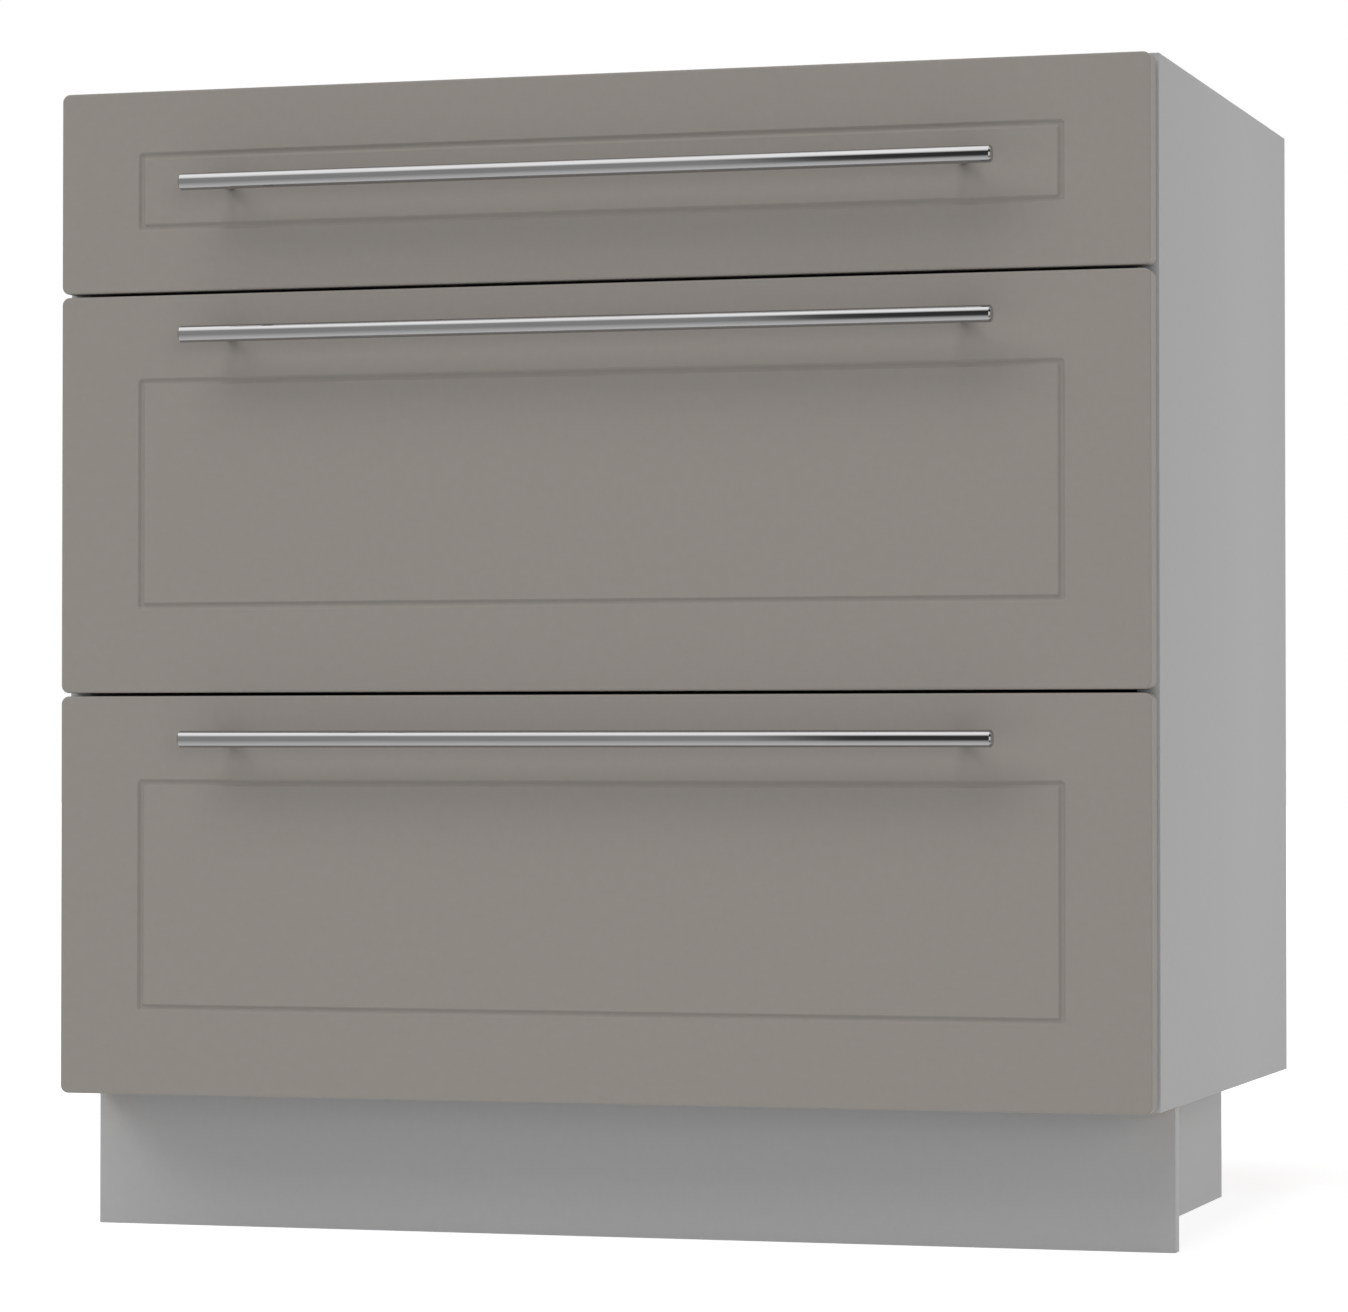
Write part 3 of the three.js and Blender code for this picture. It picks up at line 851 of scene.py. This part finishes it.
hole_drill = peg(SCREW_HOLE_RADIUS, DRILL_LENGTH)
window_drill = peg(WINDOW_RADIUS, DRILL_LENGTH, sides=WINDOW_SIDES)
bm = bmesh.new()
bmesh.ops.create_icosphere(bm, subdivisions=2, radius=BALL_RADIUS)
ball = hidden_object("ball", finished(bm, "ball", BALL_ANGLE))
runner_screws = []
for number in DRAWERS:
    for hand, sign in HANDS.items():
        source = f"runner_{number}_cabinet_{hand}"
        low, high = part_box(source)
        back = far_and_near(low, high, sign)[0]
        middle_z = (low.z + high.z) / 2
        holes = row(hole_drill, SCREW_HOLES, (back, hole_front, middle_z), (0, SYSTEM_PITCH, 0), zinc)
        mesh = cut(folded(channel(low, high, sign), [BEND] * 4, low, high), holes)
        piece(f"rail_{number}_outer_{hand}", mesh, [zinc], "cabinet", [source])
        for k in SCREWED_HOLES:
            spot = (back - sign * STRIP, hole_front + k * SYSTEM_PITCH, middle_z)
            runner_screws.append((spot, (-sign, 0, 0)))
        bm = bmesh.new()
        wall = STRIP + BUFFER_PLAY
        reach = high.x - low.x - wall
        add_block(bm, (back - sign * wall, high.y - BUFFER_LENGTH, low.z + wall),
                  (back - sign * reach, high.y - BUFFER_SETBACK, high.z - wall), BUFFER_EDGE)
        piece(f"buffer_{number}_{hand}", finished(bm, "buffer"), [rubber], "cabinet")

        source = f"runner_{number}_middle_{hand}"
        low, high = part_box(source)
        back, mouth = far_and_near(low, high, sign)
        start = (back, hole_front + SYSTEM_PITCH, middle_z)
        holes = row(window_drill, WINDOWS, start, (0, WINDOW_PITCH, 0), zinc)
        mesh = cut(folded(channel(low, high, sign), [BEND] * 4, low, high), holes)
        piece(f"rail_{number}_middle_{hand}", mesh, [zinc], f"runner_{number}_middle",
              [source])

        source = f"runner_{number}_drawer_{hand}"
        inner_low, inner_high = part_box(source)
        mesh = folded(hat(inner_low, inner_high, sign), [BEND] * 4, inner_low, inner_high)
        piece(f"rail_{number}_inner_{hand}", mesh, [zinc], f"drawer_{number}", [source])

        lip_x = mouth + sign * STRIP
        brim_x = far_and_near(inner_low, inner_high, sign)[0] - sign * STRIP
        cage_front = low.y + CAGE_START
        cage_rear = cage_front + BALL_COUNT * BALL_PITCH
        balls, bm = [], bmesh.new()
        for z in (low.z + STRIP + BALL_RADIUS, high.z - STRIP - BALL_RADIUS):
            start = ((lip_x + brim_x) / 2, cage_front + BALL_PITCH / 2, z)
            balls.append(row(ball, BALL_COUNT, start, (0, BALL_PITCH, 0), zinc))
            add_block(bm, (lip_x + sign * CAGE_PLAY, cage_front, z - CAGE_THICKNESS / 2),
                      (brim_x - sign * CAGE_PLAY, cage_rear, z + CAGE_THICKNESS / 2))
        mesh = finished(joined(*balls, finished(bm, "cage")), "cage", BALL_ANGLE)
        piece(f"ball_cage_{number}_{hand}", mesh, [zinc], f"runner_{number}_middle")
piece("runner_screws", fixings(runner_screws, flat_screw, zinc), [], "cabinet")
for helper in (hole_drill, window_drill, ball):
    bpy.data.objects.remove(helper)


# Drawer boxes: double-walled steel sides, folded from powder-coated sheet, carry a 16 mm bottom board on a
# ledge. The back board is screwed to a plate behind, and brackets inside hold the front.
SHEET = 0.0012
SIDE_WALLS = 0.013
TOP_BEND = 0.0016
LEDGE_BEND = 0.0003
BOARD_ROUND = 0.0006
BRACKET = 0.0012
BRACKET_REACH = 0.017
BRACKET_DEPTH = 0.020
BRACKET_HEIGHT = 0.09
BRACKET_CLEAR = 0.010
BRACKET_SCREW_INSET = 0.008
REAR_PLATE_WIDTH = 0.030
REAR_PLATE_INSET = 0.006
REAR_SCREW_INSET = 0.014
PLATE_EDGE = 0.0003
SIDE_GAP = 0.0003
BOX_SCREW_SIZE = 0.8

coat, tree, surface = material("grey_powder_coat", 0.42, gloss=0.5)
tint(tree, surface, grain(tree, 240), paint(140, 143, 146), paint(148, 151, 154))
relief(tree, surface, grain(tree, 1100, 3), 0.00006, 0.5)

for number in DRAWERS:
    body = f"drawer_{number}"
    front_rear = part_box(f"drawer_{number}_front")[1].y
    floor_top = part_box(f"drawer_{number}_bottom")[1].z
    rear_low, rear_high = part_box(f"drawer_{number}_back")
    for part, solid, raw in (("floor", "bottom", (BACK,)), ("rear", "back", (LEFT, RIGHT))):
        name, source = f"drawer_{part}_{number}", f"drawer_{number}_{solid}"
        bm = bmesh.new()
        add_block(bm, *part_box(source), BOARD_ROUND, raw)
        piece(name, finished(bm, name), [melamine, chipboard], body, [source])
    brackets, plates, places = bmesh.new(), bmesh.new(), []
    for hand, sign in HANDS.items():
        source = f"drawer_{number}_side_{hand}"
        low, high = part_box(source)
        half = SHEET / 2
        far, ledge_end = far_and_near(low, high, sign)
        inside = far - sign * SIDE_WALLS
        path = [(far - sign * half, low.z), (far - sign * half, high.z - half),
                (inside + sign * half, high.z - half), (inside + sign * half, low.z + half),
                (ledge_end, low.z + half)]
        mesh = folded(path, [TOP_BEND, TOP_BEND, LEDGE_BEND], low, high, SHEET)
        piece(f"drawer_side_{number}_{hand}", mesh, [coat], body, [source])

        wall = inside - sign * SIDE_GAP
        foot_z = floor_top + BRACKET_CLEAR
        head_z = min(high.z - BRACKET_CLEAR, foot_z + BRACKET_HEIGHT)
        bracket_rear = front_rear + BRACKET
        add_block(brackets, (wall, front_rear, foot_z),
                  (wall - sign * BRACKET_REACH, bracket_rear, head_z), PLATE_EDGE)
        add_block(brackets, (wall, bracket_rear, foot_z),
                  (wall - sign * BRACKET, front_rear + BRACKET_DEPTH, head_z), PLATE_EDGE)
        for z in (foot_z + BRACKET_SCREW_INSET, head_z - BRACKET_SCREW_INSET):
            places.append(((wall - sign * (BRACKET_REACH + BRACKET) / 2, bracket_rear, z), BACK))
            places.append(((wall - sign * BRACKET, bracket_rear + BRACKET_DEPTH / 2, z), (-sign, 0, 0)))
        plate_rear = rear_high.y + BRACKET
        add_block(plates, (wall, rear_high.y, rear_low.z + REAR_PLATE_INSET),
                  (wall - sign * REAR_PLATE_WIDTH, plate_rear, high.z - REAR_PLATE_INSET), PLATE_EDGE)
        for z in (rear_low.z + REAR_SCREW_INSET, high.z - REAR_SCREW_INSET):
            places.append(((wall - sign * REAR_PLATE_WIDTH / 2, plate_rear, z), BACK))
    piece(f"front_brackets_{number}", finished(brackets, "brackets"), [zinc], body)
    piece(f"rear_plates_{number}", finished(plates, "plates"), [coat], body)
    piece(f"box_screws_{number}", fixings(places, screw, zinc, BOX_SCREW_SIZE), [], body)


# Drawer fronts: 19 mm fibreboard, routed with a rectangle of groove and rounded along the outer edge. Face
# and edges are wrapped in matt greige foil, and the back is plain grey. Small clear pads keep it off the
# carcass.
FRONT_ROUND = 0.0015
CORNER = 0.0055
REAR_ROUND = 0.0006
ROUND_STEPS = 8
CORNER_STEPS = 8
GROOVE_HALF = 0.00265
GROOVE_FLOOR_HALF = 0.0009
ROUTED_DEPTH = 0.0017
LIP_ROUND = 0.0005
FLOOR_ROUND = 0.0008
OUTER_CORNER = 0.0035
INNER_CORNER = 0.0005
ROUTED_STEPS = 5
GROOVE_INSET = 0.062
SHALLOW_INSET = 0.0465
FLAT_MARGIN = 0.0002
PAD_OUTLINE = ((0, 0), (0.004, 0), (0.004, 0.0006), (0.0031, 0.0013), (0.0016, 0.0017), (0, 0.0018))
PAD_SIDES = 20
PAD_INSET = 0.014
PAD_FROM_INSIDE = 0.008

foil, tree, surface = material("greige_foil", 0.52, gloss=0.4)
tint(tree, surface, grain(tree, 160), paint(138, 133, 127), paint(140, 135, 129))
relief(tree, surface, grain(tree, 1600, 3), 0.00003, 0.3)

pads, tree, surface = material("clear_pads", 0.3, gloss=0.5)
tint(tree, surface, grain(tree, 200), paint(196, 197, 196), paint(206, 207, 206))
surface.inputs["Transmission Weight"].default_value = 0.4


def rounded_rectangle(half_width, half_height, radius):
    """The corners of a rectangle, each as an arc, going round once."""
    points = []
    for k, (x, z) in enumerate(((1, 1), (-1, 1), (-1, -1), (1, -1))):
        for j in range(CORNER_STEPS + 1):
            angle = pi / 2 * (k + j / CORNER_STEPS)
            points.append((x * (half_width - radius) + radius * cos(angle),
                           z * (half_height - radius) + radius * sin(angle)))
    return points


def groove_section():
    """The groove from its outer lip to its inner one: places across it and their heights."""
    path = [(-GROOVE_HALF - FLAT_MARGIN, 0), (-GROOVE_HALF, 0), (-GROOVE_FLOOR_HALF, -ROUTED_DEPTH),
            (GROOVE_FLOOR_HALF, -ROUTED_DEPTH), (GROOVE_HALF, 0), (GROOVE_HALF + FLAT_MARGIN, 0)]
    path = [Vector(point) for point in path]
    ways = [(b - a).normalized() for a, b in zip(path, path[1:])]
    points = [path[0]]
    for k, radius in enumerate((LIP_ROUND, FLOOR_ROUND, FLOOR_ROUND, LIP_ROUND)):
        points += arc(path[k + 1], ways[k], ways[k + 1], radius, ROUTED_STEPS)
    return [*points, path[-1]]


bm = bmesh.new()
revolve(bm, PAD_OUTLINE, PAD_SIDES)
dome = hidden_object("dome", finished(bm, "dome", angle=50))
for number in DRAWERS:
    source = f"drawer_{number}_front"
    low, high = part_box(source)
    middle = (low.z + high.z) / 2
    half = (high.x - low.x) / 2, (high.z - low.z) / 2
    inset = SHALLOW_INSET if number == 1 else GROOVE_INSET
    loops = [(half[0] - REAR_ROUND, half[1] - REAR_ROUND, CORNER - REAR_ROUND, high.y),
             (half[0], half[1], CORNER, high.y - REAR_ROUND)]
    for j in range(ROUND_STEPS + 1):
        angle = pi / 2 * j / ROUND_STEPS
        off = FRONT_ROUND * (1 - cos(angle))
        loops.append((half[0] - off, half[1] - off, CORNER - off, low.y + FRONT_ROUND * (1 - sin(angle))))
    off = FRONT_ROUND + FLAT_MARGIN
    loops.append((half[0] - off, half[1] - off, CORNER - off, low.y))
    for across, height in groove_section():
        turn = OUTER_CORNER - GROOVE_HALF - across if across < 0 else INNER_CORNER + GROOVE_HALF - across
        loops.append((half[0] - GROOVE_INSET - across, half[1] - inset - across, turn, low.y - height))
    bm = bmesh.new()
    rings = []
    for half_width, half_height, radius, y in loops:
        outline = rounded_rectangle(half_width, half_height, radius)
        rings.append([bm.verts.new((x, y, middle + z)) for x, z in outline])
    bm.faces.new(rings[0]).material_index = 1
    for outer_ring, inner_ring in zip(rings, rings[1:]):
        for k in range(len(outer_ring)):
            j = (k + 1) % len(outer_ring)
            bm.faces.new([outer_ring[k], outer_ring[j], inner_ring[j], inner_ring[k]])
    bm.faces.new(rings[-1])
    mesh = finished(bm, "front", angle=40)
    piece(f"front_{number}", mesh, [foil, melamine], f"drawer_{number}", [source])

    pad_x = inner_x + PAD_FROM_INSIDE
    pad_z = low.z + PAD_INSET, high.z - PAD_INSET
    places = [((x, high.y, z), BACK) for x in (-pad_x, pad_x) for z in pad_z]
    piece(f"pads_{number}", fixings(places, dome, pads), [], f"drawer_{number}")
bpy.data.objects.remove(dome)


# Bar handles: a round steel bar with turned, lightly chamfered ends stands on two posts. Each post is screwed
# from inside the drawer through the front.
BAR_CHAMFER = 0.001
BAR_SHOULDER = 0.0015
BAR_SIDES = 64
POST_EDGE = 0.0002
POST_SIDES = 32
WASHER_RADIUS = 0.0055
WASHER_HEIGHT = 0.0008
WASHER_SIDES = 24

steel, tree, surface = material("brushed_steel", 0.07, metal=1.0)
streaks = grain(tree, 700, 3, (0.03, 1, 1))
tint(tree, surface, streaks, paint(179, 179, 180), paint(185, 185, 186))
polish(tree, surface, streaks, 0.035, 0.08)
relief(tree, surface, streaks, 0.000004, 0.25)

bm = bmesh.new()
revolve(bm, [(0, 0), (WASHER_RADIUS, 0), (WASHER_RADIUS, WASHER_HEIGHT), (0, WASHER_HEIGHT)], WASHER_SIDES)
washer = hidden_object("washer", finished(bm, "washer"))
for number in DRAWERS:
    source = f"handle_{number}_bar"
    low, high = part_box(source)
    radius = (high.z - low.z) / 2
    bar_y, bar_z = (low.y + high.y) / 2, (low.z + high.z) / 2
    bm = bmesh.new()
    revolve(bm, [
        (0, low.x), (radius - BAR_CHAMFER, low.x), (radius, low.x + BAR_CHAMFER),
        (radius, low.x + BAR_SHOULDER), (radius, high.x - BAR_SHOULDER),
        (radius, high.x - BAR_CHAMFER), (radius - BAR_CHAMFER, high.x), (0, high.x),
    ], BAR_SIDES)
    lie = Matrix.Translation((0, bar_y, bar_z)) @ Matrix.Rotation(pi / 2, 4, "Y")
    bmesh.ops.transform(bm, matrix=lie, verts=bm.verts)
    mesh = finished(bm, "bar", angle=30)
    piece(f"bar_{number}", mesh, [steel], f"drawer_{number}", [source])
    front_low, front_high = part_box(f"drawer_{number}_front")
    length = front_low.y - bar_y
    places = []
    for hand in HANDS:
        source = f"handle_{number}_post_{hand}"
        low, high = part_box(source)
        x, z, radius = (low.x + high.x) / 2, (low.z + high.z) / 2, (high.x - low.x) / 2
        bm = bmesh.new()
        revolve(bm, [(0, 0), (radius - POST_EDGE, 0), (radius, POST_EDGE), (radius, length), (0, length)],
                POST_SIDES)
        stand = Matrix.Translation((x, front_low.y, z)) @ Matrix.Rotation(pi / 2, 4, "X")
        bmesh.ops.transform(bm, matrix=stand, verts=bm.verts)
        piece(f"post_{number}_{hand}", finished(bm, "post"), [steel], f"drawer_{number}",
              [source])
        places.append(((x, front_high.y, z), BACK))
    raised = [((x, y + WASHER_HEIGHT, z), way) for (x, y, z), way in places]
    mesh = finished(joined(fixings(places, washer, zinc), fixings(raised, screw, zinc)), "handle_screws")
    piece(f"handle_screws_{number}", mesh, [zinc], f"drawer_{number}")
for helper in (washer, screw, cam, flat_screw):
    bpy.data.objects.remove(helper)
